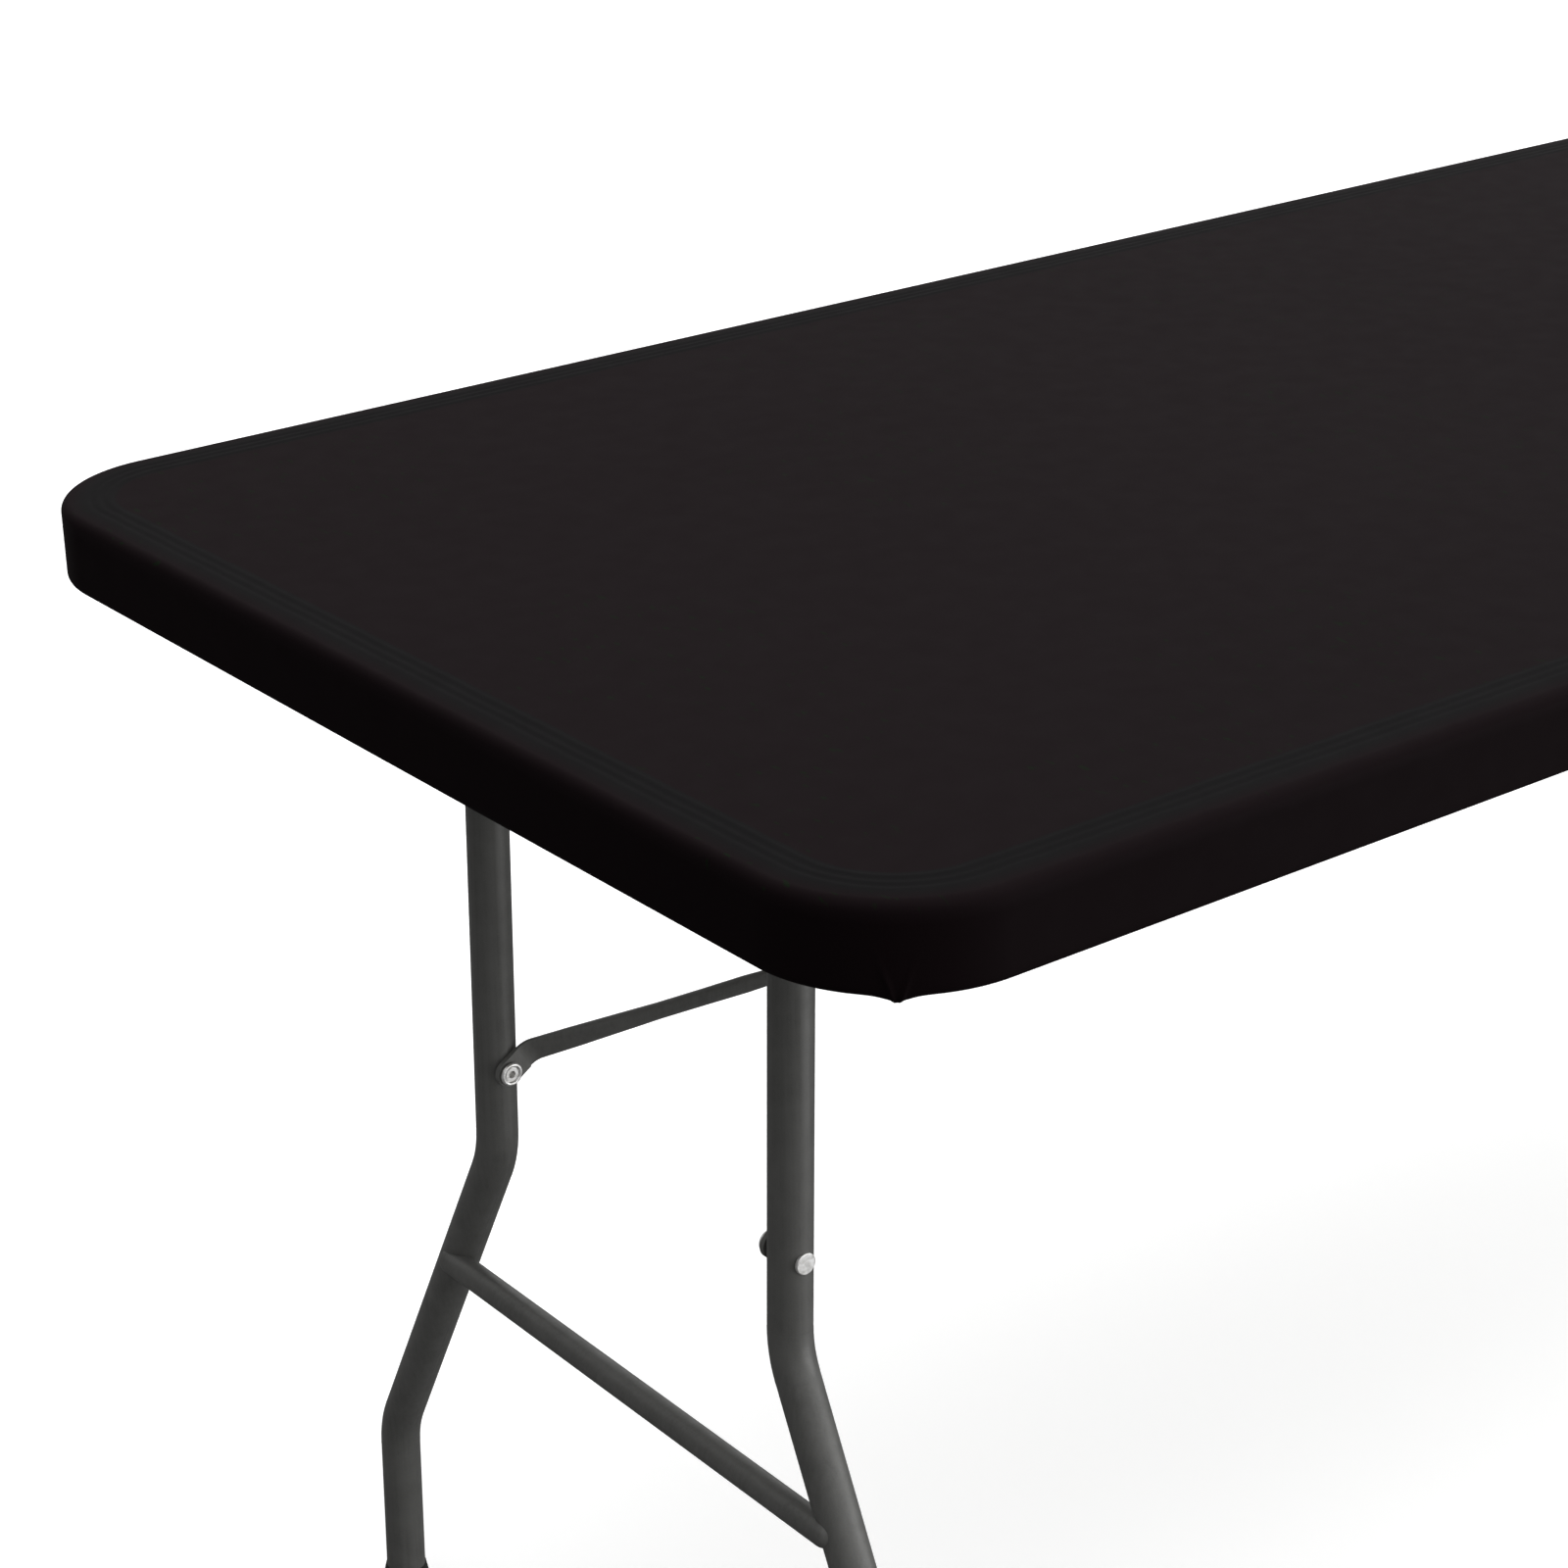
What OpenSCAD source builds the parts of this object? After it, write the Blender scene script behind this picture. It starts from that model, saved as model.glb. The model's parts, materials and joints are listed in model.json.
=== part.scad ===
// Folding table with a fitted stretch cover. All sizes in millimetres.
// Origin: on the floor under the middle of the top. +X along the top, +Y across it, +Z up.

/* [Top] */
// Overall length with the cover on
table_l = 1829; // [1760:1:2440]
// Overall width with the cover on
table_w = 762; // [700:1:920]
// Height from the floor to the top of the cover
table_h = 737; // [610:1:900]
// Corner radius seen from above
corner_r = 78; // [60:1:110]
// Height of the edge
edge_h = 44; // [42:1:60]
// Rounding along the top of the edge
edge_r = 7; // [6:0.5:16]
// Thickness of the middle of the panel
plate_t = 16; // [12:0.5:20]
// Width of the hollow rim under the panel
rim_w = 40; // [30:1:50]
// Skin thickness of the moulded panel
skin_t = 3; // [2:0.5:4]
// Distance between the dimples under the panel
dimple_pitch = 130; // [90:5:180]

/* [Cover] */
// Thickness of the stretch cloth
cover_t = 1; // [0.6:0.1:1.5]
// Gap between the cloth and the sides of the panel
cover_gap = 0.2; // [0.1:0.05:0.5]
// Rounding where the cloth turns under the edge
hem_r = 4; // [2:0.5:6]
// Width of the hem under the edge
hem_w = 32; // [15:1:36]
// Diameter of the elastic in the hem
elastic_d = 3; // [2:0.1:4]

/* [Rails] */
// Depth of the rail section across the table
rail_w = 20; // [16:1:26]
// Sheet thickness of the rail
rail_t = 1.5; // [1:0.1:2.5]
// Gap between the rail and the rim
rail_gap = 7.8; // [4:0.1:14]
// Distance from the end of the table to the end of the rail
rail_inset = 95; // [70:1:120]
// Metal left between the pivot bush and the lip of the rail
rail_edge = 0.5; // [0.3:0.1:3]
// Number of screws along one rail
rail_screws_n = 6; // [4:1:10]

/* [Legs] */
// Distance from the end of the table to the leg pivot
leg_set = 150; // [135:1:170]
// Outside diameter of the leg tube
leg_d = 24; // [20:0.5:30]
// Wall of the leg tube
leg_wall = 1.2; // [1:0.1:2]
// Outward lean of the open legs in degrees
leg_lean = 1.5; // [0.5:0.1:4]
// Distance between the leg centres at the top
leg_gap_top = 272; // [240:1:340]
// Distance between the leg centres at the floor
leg_gap_foot = 517; // [440:1:540]
// Centreline radius of the two bends
bend_r = 60; // [45:1:90]
// Distance from the pivot to the upper bend
bend_drop = 334; // [320:1:360]
// Height of the lower bend above the floor
foot_rise = 131; // [100:1:160]
// Diameter of the pivot tube
pivot_d = 16; // [14:0.5:20]
// Clearance between the folded feet and the panel
fold_gap = 1.75; // [1:0.25:4]
// Diameter of the crossbar
crossbar_d = 16; // [13:0.5:20]
// Distance from the pivot to the crossbar
crossbar_drop = 420; // [400:1:440]
// Wall of the foot cap
cap_wall = 2.25; // [1.5:0.25:4]
// Height of the foot cap
cap_h = 28; // [20:1:40]

/* [Brace] */
// Distance from the leg pivot to the brace rivets
rivet_drop = 278; // [250:1:300]
// Distance from the leg pivot to the bracket pin
bracket_reach = 475; // [460:1:500]
// Clearance between the folded link and the panel
link_gap = 1.5; // [1:0.1:3]
// Diameter of the brace arm
arm_d = 9.5; // [8:0.5:12]
// Thickness of the flattened ends of the arm
arm_t = 3; // [2.5:0.5:5]
// Width of the flattened end at the leg
arm_w = 16; // [15:0.5:24]
// Distance from the brace rivets to the middle of the junction
junction_run = 156; // [140:1:160]
// Height of the junction over the line from rivet to elbow
junction_lift = 6; // [4:0.5:7]
// Thickness of the stem bar
stem_t = 5; // [4:0.5:6]
// Height of the stem bar
stem_h = 10; // [8:0.5:11]
// Thickness of one link strap
link_t = 2.5; // [2:0.5:3]
// Height of one link strap
link_h = 13; // [11:0.5:14]
// Diameter of the pins and rivet shanks
pin_d = 6; // [5:0.5:7]

/* [Fits] */
// Radial clearance of a pin that turns in its hole
running_gap = 0.08; // [0.02:0.01:0.1]
// Clearance between the flat sides of moving pieces
side_gap = 0.3; // [0.2:0.05:0.5]

/* [Hidden] */
$fn = 64;

// Sides of the table across its width
front = -1;
back = 1;

// Overlap that keeps a cut clear of the face it leaves
cut = 1;

// Colours
cover_colour = [0.14, 0.12, 0.13];
panel_colour = [0.78, 0.77, 0.73];
steel_colour = [0.24, 0.24, 0.23];
bright_colour = [0.78, 0.78, 0.78];
cap_colour = [0.12, 0.12, 0.11];
nylon_colour = [0.85, 0.84, 0.8];

// Levels of the top
edge_bottom = table_h - edge_h;
panel_top = table_h - cover_t;
panel_bottom = edge_bottom + cover_t;
under_z = panel_top - plate_t;

// Plan sizes of the panel and of the pocket under it
panel_inset = cover_t + cover_gap;
panel_l = table_l - 2 * panel_inset;
panel_w = table_w - 2 * panel_inset;
panel_r = corner_r - panel_inset;
pocket_l = panel_l - 2 * rim_w;
pocket_w = panel_w - 2 * rim_w;
pocket_r = panel_r - rim_w;

// Dimples: cups pressed up from the underside until they meet the top skin
dimple_low_r = 17;
dimple_high_r = 9;
dimple_rows = [50, 140, 230];
dimple_count = floor((pocket_l - 2 * dimple_pitch / 3) / dimple_pitch);
vent_r = 6;
plug_head_r = vent_r + 2.5;
plug_head_h = 1.5;

// Hem roll that carries the elastic
elastic_r = elastic_d / 2;
roll_r = elastic_r + cover_t;
roll_z = edge_bottom - elastic_r - cover_t / 3;

// Rails
rail_y = pocket_w / 2 - rail_gap - rail_w;
rail_l = table_l - 2 * rail_inset;
rail_lip = 6;
rail_screw_end = 60;
rail_screw_y = rail_y + rail_w * 0.6;
screw_r = 2.25;
screw_head_r = 4.2;
screw_head_top_r = 3.4;
screw_head_h = 2;
screw_l = 9;

// Leg pivot, in the left end's own plane. It hangs low enough for the feet to fold flat.
leg_r = leg_d / 2;
cap_r = leg_r + cap_wall;
pivot_room = cap_r + fold_gap;
pivot_x = leg_set - table_l / 2;
pivot_z = under_z - pivot_room;
pivot_r = pivot_d / 2;
pivot_wall = 1.5;
bush_wall = 1;
bush_r = pivot_r + bush_wall;
bush_flange_r = bush_r + 3.5;
bush_flange_t = 1.5;
bush_out = 3;
pivot_out = 7.5;
pivot_half = rail_y + rail_t + pivot_out;
pivot_cap_t = 3;
pivot_plug_l = 10;

// The rail reaches down past the bush
rail_h = pivot_room + bush_r + rail_edge + rail_t;
rail_bottom = under_z - rail_h;

// Leg tube: lengths run down the leg from the pivot axis
leg_bore_r = leg_r - leg_wall;
top_y = leg_gap_top / 2;
foot_y = leg_gap_foot / 2;
floor_run = pivot_z / cos(leg_lean);
low_bend_drop = floor_run - foot_rise;
bend_angle = atan((foot_y - top_y) / (low_bend_drop - bend_drop));
bend_tangent = bend_r * tan(bend_angle / 2);
cap_floor_t = 4;
leg_end = floor_run - cap_floor_t;

// A pressed bend comes out slightly fatter than the straight tube
bend_swell = 0.05;
bend_lap = 0.5;

// Crossbar: it laps the outer side of both legs. Its inner side lies in the plane of the leg
// axes, so that the brace folds flat over it.
crossbar_r = crossbar_d / 2;
crossbar_set = crossbar_r;
crossbar_wall = 1.2;
crossbar_y = top_y + (crossbar_drop - bend_drop) * tan(bend_angle);
crossbar_half = crossbar_y - crossbar_r / 2;

// Foot cap
cap_flare = 8;
cap_top_r = leg_r + 0.6;

// Brace rivets: a flat head outside the leg, a hollow peened end on a rolled washer inside
pin_r = pin_d / 2;
rivet_head_r = 6;
rivet_head_t = 1.4;
rivet_rim_t = 1;
rivet_bevel = 0.5;
rivet_seat = 0.4;
washer_r = 7;
washer_t = 1.3;
washer_sink = 0.1;
peen_r = 3.9;
peen_rise = 0.5;
peen_bore_r = pin_r - 0.8;
arm_out_y = top_y - leg_r - side_gap;
arm_in_y = arm_out_y - arm_t;

// Brace lengths. Open, rivet, elbow and bracket pin lie on one line, and the two members fold
// flat under the panel, where the elbow is level with the bracket pin.
rivet_x = -rivet_drop * sin(leg_lean);
rivet_z = -rivet_drop * cos(leg_lean);
pin_z = pivot_room - link_h / 2 - link_gap;
brace_dx = bracket_reach - rivet_x;
brace_dz = pin_z - rivet_z;
brace_span = sqrt(brace_dx * brace_dx + brace_dz * brace_dz);
brace_slope = atan2(brace_dz, brace_dx);
folded_run = bracket_reach + brace_span - rivet_drop;
stem_reach = folded_run / 2 + pin_z * pin_z / (2 * folded_run);
link_reach = brace_span - stem_reach;

// Brace arm: flat end at the leg, round middle, flat end on the stem
arm_r = arm_d / 2;
arm_tilt = atan(junction_lift / junction_run);
junction_half = 16;
junction_h = stem_h;
junction_start = junction_run - junction_half;
junction_end = junction_run + junction_half;
arm_leg_y = (arm_out_y + arm_in_y) / 2;
arm_stem_y = stem_t / 2 + arm_t / 2;
arm_bend_from = 12;
arm_bend_to = junction_start;
arm_bend_r = 12;
arm_bend_steps = 6;
arm_mid_steps = 6;
arm_sides = 24;
arm_lap = 2;
arm_shy = 0.05;

// Shares of the way across in which the arm turns from flat to round and back to flat
arm_round_by = 0.5;
arm_flat_from = 0.25;

// Powers of the arm's section: a rounded rectangle where flat, an ellipse where round
flat_power = 6;
round_power = 2;

// Direction of the arm between its two bends: the inner tangent of the two bend circles
arm_rise = arm_leg_y - arm_stem_y - 2 * arm_bend_r;
arm_reach = arm_bend_to - arm_bend_from;
arm_angle = atan2(arm_rise, arm_reach) + asin(2 * arm_bend_r / norm([arm_reach, arm_rise]));
arm_mid_from = [
    arm_bend_from + arm_bend_r * sin(arm_angle),
    arm_leg_y - arm_bend_r * (1 - cos(arm_angle)), arm_angle
];
arm_mid_to = [
    arm_bend_to - arm_bend_r * sin(arm_angle),
    arm_stem_y + arm_bend_r * (1 - cos(arm_angle)), arm_angle
];

// Rivets through the junction
stem_rivet_r = 2.5;
stem_rivet_head_r = 4;
stem_rivet_pitch = 16;

// Stem bar runs from the junction down to the elbow line
stem_drop_angle = atan(junction_lift / (stem_reach - junction_run));
stem_end_r = 6;

// Link straps lie outside the stem, the bracket's ears outside the straps
strap_y = stem_t / 2 + side_gap;
ear_y = strap_y + link_t + side_gap;
ear_t = 2.5;
ear_half = 8;
bracket_t = 1.5;
bracket_half_w = 24;
bracket_from = -20;
bracket_to = 18;
bracket_slot_from = -9;
bracket_screw_x = 11;
bracket_screw_y = 17;

// Heads of the link pins, the elbow rivets and the stem rivets
link_pin_head_r = 5;
elbow_head_r = 5.5;
stem_rivet_head_t = 1.5;

// ---------------------------------------------------------------- shared shapes

// Section of an edge that is w deep, rounded at its outer top and bottom
module edge_section(w, low, high, top_r, low_r) {
    translate([0, low + low_r])
        square([w, high - low - low_r - top_r]);
    translate([0, high - top_r])
        square([w - top_r, top_r]);
    translate([w - top_r, high - top_r])
        circle(top_r);
    if (low_r > 0) {
        translate([0, low])
            square([w - low_r, low_r]);
        translate([w - low_r, low + low_r])
            circle(low_r);
    }
}

// Rounded slab centred on the origin, with its edge made from edge_section
module slab(l, w, r, low, high, top_r, low_r) {
    mid_l = l - 2 * r;
    mid_w = w - 2 * r;
    translate([-mid_l / 2, -mid_w / 2, low])
        cube([mid_l, mid_w, high - low]);
    for (turn = [0, 180]) {
        rotate(turn)
            translate([-mid_l / 2, mid_w / 2, 0])
                rotate([90, 0, 90])
                    linear_extrude(mid_l)
                        edge_section(r, low, high, top_r, low_r);
        rotate(turn)
            translate([mid_l / 2, mid_w / 2, 0])
                rotate([90, 0, 0])
                    linear_extrude(mid_w)
                        edge_section(r, low, high, top_r, low_r);
        rotate(turn)
            translate([mid_l / 2, mid_w / 2, 0])
                rotate_extrude(angle = 90)
                    edge_section(r, low, high, top_r, low_r);
        rotate(turn)
            translate([-mid_l / 2, mid_w / 2, 0])
                rotate(90)
                    rotate_extrude(angle = 90)
                        edge_section(r, low, high, top_r, low_r);
    }
}

// Rounded block with straight sides
module block(l, w, r, low, high) {
    translate([-l / 2 + r, -w / 2, low])
        cube([l - 2 * r, w, high - low]);
    translate([-l / 2, -w / 2 + r, low])
        cube([l, w - 2 * r, high - low]);
    for (x = [r - l / 2, l / 2 - r], y = [r - w / 2, w / 2 - r])
        translate([x, y, low])
            cylinder(h = high - low, r = r);
}

// Round tube bent along a rounded rectangle of centreline size l by w
module loop(l, w, r, z, tube_r) {
    mid_l = l - 2 * r;
    mid_w = w - 2 * r;
    for (turn = [0, 180])
        rotate(turn)
            translate([0, 0, z]) {
                translate([-mid_l / 2, w / 2, 0])
                    rotate([0, 90, 0])
                        cylinder(h = mid_l, r = tube_r);
                translate([l / 2, mid_w / 2, 0])
                    rotate([90, 0, 0])
                        cylinder(h = mid_w, r = tube_r);
                translate([mid_l / 2, mid_w / 2, 0])
                    rotate_extrude(angle = 90)
                        translate([r, 0])
                            circle(tube_r);
                translate([-mid_l / 2, mid_w / 2, 0])
                    rotate(90)
                        rotate_extrude(angle = 90)
                            translate([r, 0])
                                circle(tube_r);
            }
}

// Round bar from one point to another
module rod(from, to, r) {
    d = to - from;
    translate(from)
        rotate([0, acos(d.z / norm(d)), atan2(d.y, d.x)])
            cylinder(h = norm(d), r = r);
}

// Round bar across the table, between two places on Y
module cross_rod(from, to, r) {
    translate([0, to, 0])
        rotate([90, 0, 0])
            cylinder(h = to - from, r = r);
}

// Flat bar between two places on X, with a round end at each, between two places on Y
module flat_bar(x0, x1, y0, y1, h) {
    translate([x0, y0, -h / 2])
        cube([x1 - x0, y1 - y0, h]);
    for (x = [x0, x1])
        translate([x, 0, 0])
            cross_rod(y0, y1, h / 2);
}

// Pan-head screw driven upward, with the underside of its head at the origin
module screw() {
    translate([0, 0, -screw_head_h])
        cylinder(h = screw_head_h, r1 = screw_head_top_r, r2 = screw_head_r);
    cylinder(h = screw_l, r = screw_r);
}

// Puts a left-hand shape at the other end of the table
module other_end() {
    mirror([1, 0, 0])
        children();
}

// Puts a back shape at the front, or leaves it at the back
module at_side(side) {
    if (side == back)
        children();
    else
        mirror([0, 1, 0])
            children();
}

// ---------------------------------------------------------------- places of the left end

module at_pivot() {
    translate([pivot_x, 0, pivot_z])
        children();
}

// Leaned leg plane: -Z runs down the leg
module at_leg() {
    at_pivot()
        rotate([0, leg_lean, 0])
            children();
}

// Brace line: +X runs from the rivets to the elbow
module at_brace() {
    at_pivot()
        translate([rivet_x, 0, rivet_z])
            rotate([0, -brace_slope, 0])
                children();
}

// Link line: +X runs from the bracket pin to the elbow
module at_link() {
    at_pivot()
        translate([bracket_reach, 0, pin_z])
            rotate([0, 180 - brace_slope, 0])
                children();
}

module at_bracket() {
    at_pivot()
        translate([bracket_reach, 0, pin_z])
            children();
}

module both_ends() {
    children();
    other_end()
        children();
}

// ---------------------------------------------------------------- top

module rail_screw_places() {
    span = rail_l - 2 * rail_screw_end;
    for (i = [0 : rail_screws_n - 1], side = [front, back])
        translate([span * (i / (rail_screws_n - 1) - 0.5), side * rail_screw_y, under_z])
            children();
}

module bracket_screw_places() {
    both_ends()
        at_bracket()
            for (x = [-1, 1], y = [front, back])
                translate([x * bracket_screw_x, y * bracket_screw_y, under_z - pivot_z - pin_z])
                    children();
}

module dimples(grow) {
    for (i = [0 : dimple_count - 1], y = dimple_rows, side = [front, back])
        translate([(i - (dimple_count - 1) / 2) * dimple_pitch, side * y, under_z])
            cylinder(
                h = plate_t - 2 * skin_t + grow,
                r1 = dimple_low_r + grow,
                r2 = dimple_high_r + grow
            );
}

module panel_hollow() {
    difference() {
        slab(
            panel_l - 2 * skin_t, panel_w - 2 * skin_t, panel_r - skin_t,
            panel_bottom + skin_t, panel_top - skin_t, edge_r - cover_t - skin_t, 0
        );
        block(
            pocket_l + 2 * skin_t, pocket_w + 2 * skin_t, pocket_r + skin_t,
            panel_bottom, under_z + skin_t
        );
        dimples(skin_t);
    }
}

module tabletop_panel() {
    color(panel_colour)
        difference() {
            slab(
                panel_l, panel_w, panel_r,
                panel_bottom, panel_top, edge_r - cover_t, hem_r - cover_t
            );
            block(pocket_l, pocket_w, pocket_r, panel_bottom - cut, under_z);
            panel_hollow();
            dimples(0);
            translate([0, 0, under_z - cut])
                cylinder(h = skin_t + 2 * cut, r = vent_r);
            rail_screw_places()
                translate([0, 0, -cut])
                    cylinder(h = skin_t + 2 * cut, r = screw_r);
            bracket_screw_places()
                translate([0, 0, -cut])
                    cylinder(h = skin_t + 2 * cut, r = screw_r);
        }
}

module table_cover() {
    color(cover_colour)
        difference() {
            union() {
                slab(table_l, table_w, corner_r, edge_bottom, table_h, edge_r, hem_r);
                loop(
                    table_l - 2 * hem_w, table_w - 2 * hem_w, corner_r - hem_w,
                    roll_z, roll_r
                );
            }
            slab(
                table_l - 2 * cover_t, table_w - 2 * cover_t, corner_r - cover_t,
                panel_bottom, panel_top, edge_r - cover_t, hem_r - cover_t
            );
            block(
                table_l - 2 * hem_w, table_w - 2 * hem_w, corner_r - hem_w,
                edge_bottom, panel_bottom + cut
            );
            loop(
                table_l - 2 * hem_w, table_w - 2 * hem_w, corner_r - hem_w,
                roll_z, elastic_r
            );
        }
}

module cover_elastic() {
    color(cap_colour)
        loop(table_l - 2 * hem_w, table_w - 2 * hem_w, corner_r - hem_w, roll_z, elastic_r);
}

module vent_plug() {
    color(panel_colour) {
        translate([0, 0, under_z])
            cylinder(h = skin_t, r = vent_r);
        translate([0, 0, under_z - plug_head_h])
            cylinder(h = plug_head_h, r = plug_head_r);
    }
}

// Channel with its web inward, a wide flange under the panel and a short lip below
module rail(side) {
    color(steel_colour)
        difference() {
            at_side(side)
                translate([-rail_l / 2, rail_y, rail_bottom]) {
                    cube([rail_l, rail_t, rail_h]);
                    cube([rail_l, rail_t + rail_lip, rail_t]);
                    translate([0, 0, rail_h - rail_t])
                        cube([rail_l, rail_w, rail_t]);
                }
            both_ends()
                at_pivot()
                    at_side(side)
                        cross_rod(rail_y - cut, rail_y + rail_t + cut, bush_r);
            rail_screw_places()
                translate([0, 0, -rail_t - cut])
                    cylinder(h = rail_t + 2 * cut, r = screw_r);
        }
}

module rail_front() {
    rail(front);
}

module rail_back() {
    rail(back);
}

module rail_screws() {
    color(bright_colour)
        rail_screw_places()
            translate([0, 0, -rail_t])
                screw();
}

// Flanged bush in each rail, for the pivot tube to turn in
module pivot_bushes() {
    color(nylon_colour)
        both_ends()
            for (side = [front, back])
                at_pivot()
                    at_side(side)
                        difference() {
                            union() {
                                cross_rod(rail_y, rail_y + rail_t + bush_out, bush_r);
                                cross_rod(rail_y - bush_flange_t, rail_y, bush_flange_r);
                            }
                            cross_rod(
                                rail_y - bush_flange_t - cut, rail_y + rail_t + bush_out + cut,
                                pivot_r + running_gap
                            );
                        }
}

// Two ears on a plate that is open towards the middle of the table
module brace_bracket() {
    plate_z = under_z - pivot_z - pin_z;
    color(steel_colour)
        at_bracket()
            difference() {
                union() {
                    for (side = [front, back])
                        at_side(side) {
                            translate([bracket_from, ear_y, plate_z - bracket_t])
                                cube([bracket_to - bracket_from, bracket_half_w - ear_y, bracket_t]);
                            translate([-ear_half, ear_y, 0])
                                cube([2 * ear_half, ear_t, plate_z]);
                            cross_rod(ear_y, ear_y + ear_t, ear_half);
                        }
                    translate([bracket_from, -ear_y, plate_z - bracket_t])
                        cube([bracket_slot_from - bracket_from, 2 * ear_y, bracket_t]);
                }
                cross_rod(-bracket_half_w, bracket_half_w, pin_r);
                for (x = [-1, 1], y = [front, back])
                    translate([x * bracket_screw_x, y * bracket_screw_y, plate_z - bracket_t - cut])
                        cylinder(h = bracket_t + 2 * cut, r = screw_r);
            }
}

module bracket_left() {
    brace_bracket();
}

module bracket_right() {
    other_end()
        brace_bracket();
}

module bracket_screws() {
    color(bright_colour)
        bracket_screw_places()
            translate([0, 0, -bracket_t])
                screw();
}

// Short pins that leave the middle clear, where the stem folds between the straps
module link_pins() {
    color(bright_colour)
        at_bracket()
            for (side = [front, back])
                at_side(side) {
                    cross_rod(strap_y, ear_y + ear_t, pin_r);
                    cross_rod(ear_y + ear_t, ear_y + ear_t + rivet_head_t, link_pin_head_r);
                }
}

module link_pins_left() {
    link_pins();
}

module link_pins_right() {
    other_end()
        link_pins();
}

// ---------------------------------------------------------------- leg frame

// Bend of the leg bar about the origin, from +Y round towards +Z
module leg_bend(r) {
    rotate([90, 0, 90])
        rotate_extrude(angle = bend_angle)
            translate([bend_r, 0])
                circle(r + bend_swell);
}

// Solid bar along the centreline of the back leg. The straights lap into the bends.
module leg_path(r) {
    slant = [0, sin(bend_angle), -cos(bend_angle)];
    upper = [0, top_y, -bend_drop];
    lower = [0, foot_y, -low_bend_drop];
    reach = bend_tangent - bend_lap;
    rod([0, top_y, 0], upper + [0, 0, reach], r);
    rod(upper + slant * reach, lower - slant * reach, r);
    rod(lower - [0, 0, reach], [0, foot_y, -leg_end], r);
    translate(upper + [0, bend_r, bend_tangent])
        rotate([180, 0, 0])
            leg_bend(r);
    translate(lower - [0, bend_r, bend_tangent])
        leg_bend(r);
}

module leg_tube(side) {
    color(steel_colour)
        at_leg()
            at_side(side)
                difference() {
                    leg_path(leg_r);
                    leg_path(leg_bore_r);
                    cross_rod(0, 2 * top_y, pivot_r);
                    translate([0, 0, -rivet_drop])
                        cross_rod(0, 2 * top_y, pin_r);
                }
}

module leg_left_front() {
    leg_tube(front);
}

module leg_left_back() {
    leg_tube(back);
}

module leg_right_front() {
    other_end()
        leg_tube(front);
}

module leg_right_back() {
    other_end()
        leg_tube(back);
}

module pivot_tube() {
    color(steel_colour)
        at_leg()
            difference() {
                cross_rod(-pivot_half, pivot_half, pivot_r);
                cross_rod(-pivot_half - cut, pivot_half + cut, pivot_r - pivot_wall);
            }
}

module pivot_tube_left() {
    pivot_tube();
}

module pivot_tube_right() {
    other_end()
        pivot_tube();
}

// Plug in each end of the pivot tube, with a head that keeps it in the rails
module pivot_caps() {
    color(cap_colour)
        at_leg()
            for (side = [front, back])
                at_side(side) {
                    cross_rod(pivot_half - pivot_plug_l, pivot_half, pivot_r - pivot_wall);
                    cross_rod(pivot_half, pivot_half + pivot_cap_t, bush_r);
                }
}

module pivot_caps_left() {
    pivot_caps();
}

module pivot_caps_right() {
    other_end()
        pivot_caps();
}

// Tube with closed round ends, coped onto the outer side of both legs
module crossbar() {
    color(steel_colour)
        at_leg()
            difference() {
                translate([-crossbar_set, 0, -crossbar_drop])
                    difference() {
                        union() {
                            cross_rod(-crossbar_half, crossbar_half, crossbar_r);
                            for (y = [-crossbar_half, crossbar_half])
                                translate([0, y, 0])
                                    sphere(crossbar_r);
                        }
                        cross_rod(
                            -crossbar_half + leg_d, crossbar_half - leg_d,
                            crossbar_r - crossbar_wall
                        );
                    }
                for (side = [front, back])
                    at_side(side)
                        leg_path(leg_r);
            }
}

module crossbar_left() {
    crossbar();
}

module crossbar_right() {
    other_end()
        crossbar();
}

// Cap over the end of the leg, flared at its top and flat on the floor
module foot_cap(side) {
    run_top = floor_run - cap_h;
    color(cap_colour)
        difference() {
            at_leg()
                at_side(side)
                    difference() {
                        union() {
                            translate([0, foot_y, -run_top - cap_flare])
                                cylinder(h = cap_flare, r1 = cap_r, r2 = cap_top_r);
                            translate([0, foot_y, -floor_run - cap_r])
                                cylinder(h = cap_h - cap_flare + cap_r, r = cap_r);
                        }
                        translate([0, foot_y, -leg_end])
                            cylinder(h = cap_h, r = leg_r);
                    }
            translate([-table_l / 2, -table_w / 2, -2 * cap_h])
                cube([table_l, table_w, 2 * cap_h]);
        }
}

module foot_cap_left_front() {
    foot_cap(front);
}

module foot_cap_left_back() {
    foot_cap(back);
}

module foot_cap_right_front() {
    other_end()
        foot_cap(front);
}

module foot_cap_right_back() {
    other_end()
        foot_cap(back);
}

// Rivet through the leg: flat head outside, rolled hollow end inside the brace arm
module brace_rivet() {
    leg_out = top_y + leg_r;
    washer_in = arm_in_y - side_gap - washer_t;
    difference() {
        union() {
            cross_rod(washer_in + washer_t / 2, leg_out + rivet_rim_t / 2, pin_r);
            rivet_head(leg_out);
            cross_rod(washer_in, washer_in + washer_t, washer_r - washer_t);
            cross_rod(washer_in - peen_rise, washer_in + washer_t / 2, peen_r);
            translate([0, washer_in, 0])
                rotate([90, 0, 0])
                    rotate_extrude()
                        translate([washer_r - washer_t, 0])
                            circle(washer_t - washer_sink);
        }
        cross_rod(washer_in - 2 * washer_t, washer_in + 2 * washer_t, peen_bore_r);
    }
}

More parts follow.
